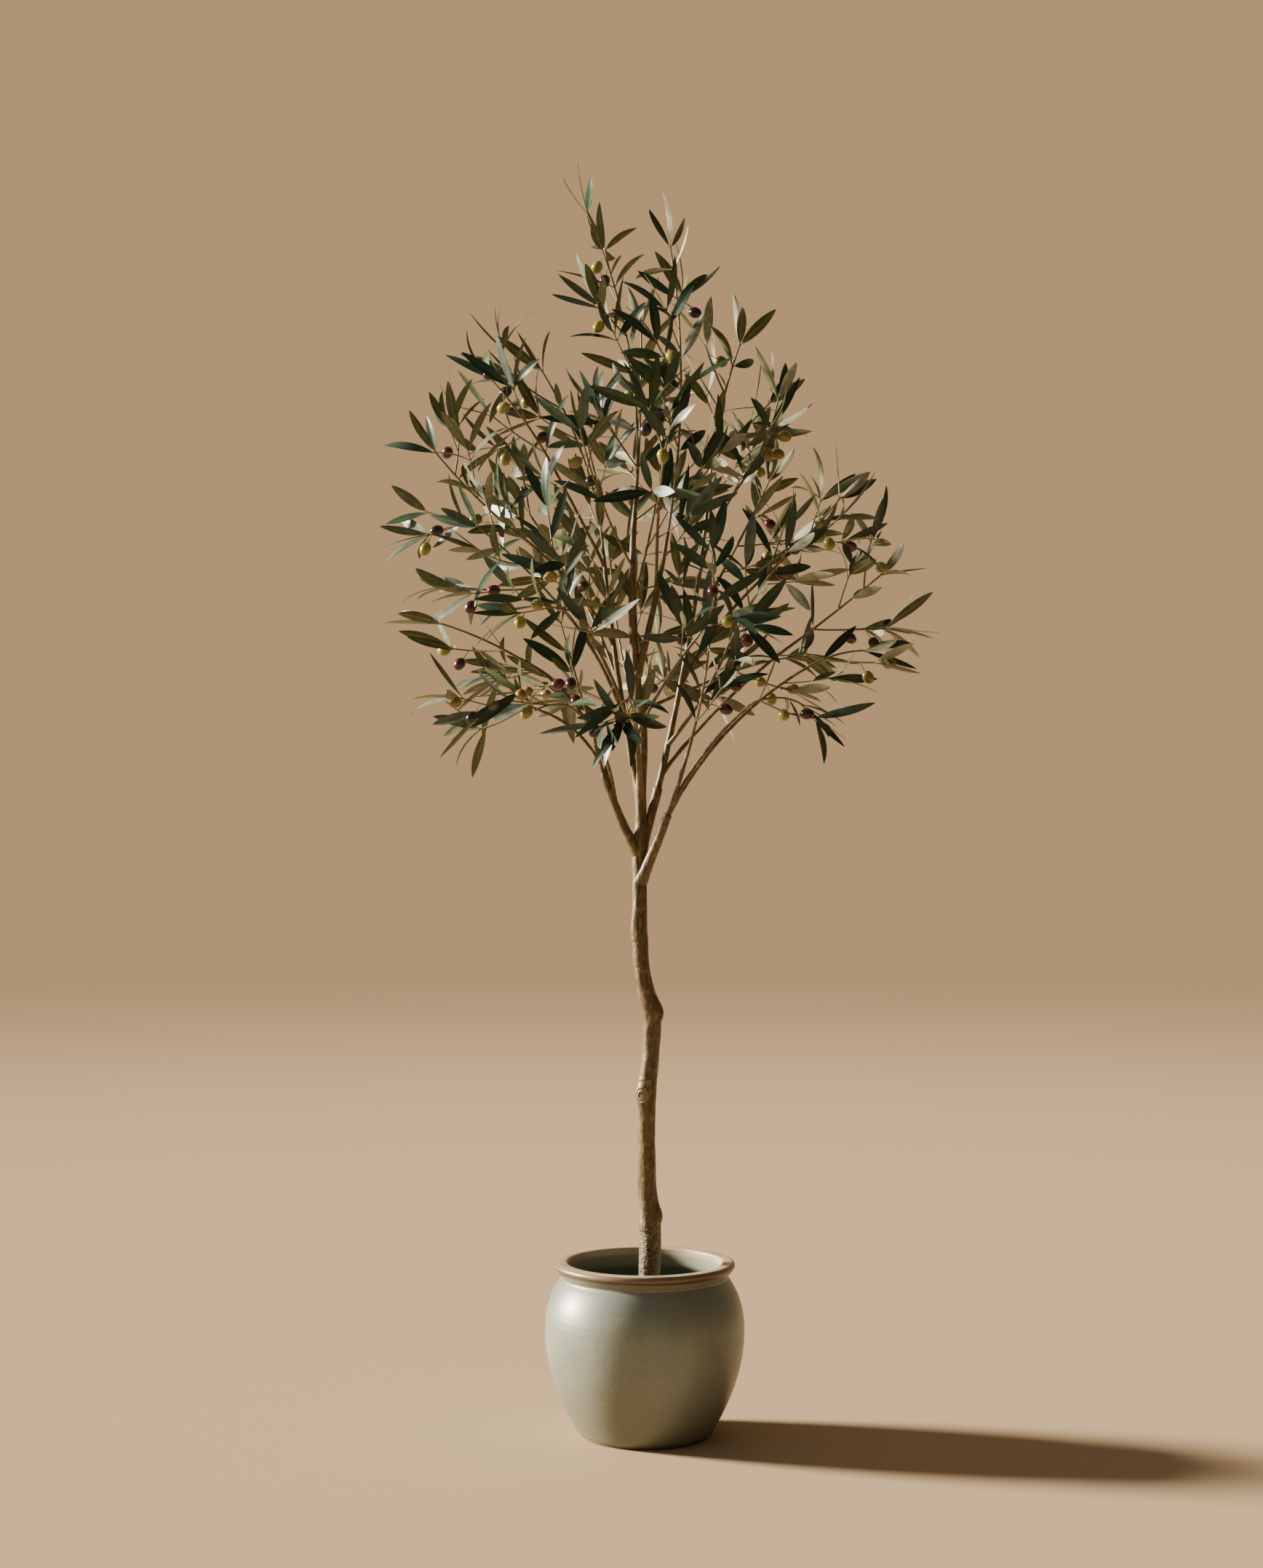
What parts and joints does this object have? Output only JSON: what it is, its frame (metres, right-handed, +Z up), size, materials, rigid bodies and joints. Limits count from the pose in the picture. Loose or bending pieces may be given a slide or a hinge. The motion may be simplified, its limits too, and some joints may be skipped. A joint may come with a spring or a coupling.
{
  "type": "potted artificial olive tree",
  "caption": "Slim artificial olive tree with a knotty single trunk, an open airy crown of narrow leaves and olives, standing in a round-bellied glazed stoneware pot.",
  "frame": {"origin": "centre of the pot's flat underside", "axes": "+Z up along the trunk, +X to the viewer's right, +Y away from the viewer"},
  "size_m": [0.7932, 0.6549, 1.7991],
  "materials": {
    "celadon_glaze": "satin speckled glaze, grey-green, with a brown lip",
    "soil": "matt crumbly potting fill",
    "bark": "matt, finely grained, moulded bark",
    "foliage": "satin leaves, dark green above and pale grey-olive below, with glossy olives"
  },
  "bodies": {
    "root": {"pot": "celadon_glaze", "soil": "soil", "trunk": "bark", "bough_left": "bark", "bough_left_inner": "bark", "bough_right_front": "bark", "bough_right_back": "bark", "bough_right_inner": "bark", "bough_front": "bark", "bough_back": "bark", "branch_low_left": "bark", "branch_low_left_front": "bark", "branch_left": "bark", "branch_left_mid": "bark", "branch_far_left": "bark", "branch_upper_left": "bark", "branch_low_right": "bark", "branch_right_low": "bark", "branch_right_front": "bark", "branch_right_outer": "bark", "branch_right_high": "bark", "branch_right_upper": "bark", "branch_front_high": "bark", "branch_front_left": "bark", "branch_front_right": "bark", "branch_back_left_low": "bark", "branch_back_right_low": "bark", "branch_back_left": "bark", "branch_back_right": "bark", "foliage_top_left": "foliage", "foliage_top_right": "foliage", "foliage_top_middle": "foliage", "foliage_upper_left": "foliage", "foliage_upper_left_inner": "foliage", "foliage_far_left": "foliage", "foliage_left_mid": "foliage", "foliage_left_outer": "foliage", "foliage_left_inner": "foliage", "foliage_low_left": "foliage", "foliage_low_left_front": "foliage", "foliage_upper_right": "foliage", "foliage_right_upper": "foliage", "foliage_right_high": "foliage", "foliage_right_outer": "foliage", "foliage_right_low": "foliage", "foliage_low_right": "foliage", "foliage_right_inner": "foliage", "foliage_right_front": "foliage", "foliage_front_low": "foliage", "foliage_front_left": "foliage", "foliage_front_right": "foliage", "foliage_front_high": "foliage", "foliage_front_upper_left": "foliage", "foliage_back_low": "foliage", "foliage_back_left_low": "foliage", "foliage_back_right_low": "foliage", "foliage_back_left": "foliage", "foliage_back_right": "foliage", "foliage_back_high": "foliage", "foliage_heart": "foliage"}
  },
  "joints": []
}
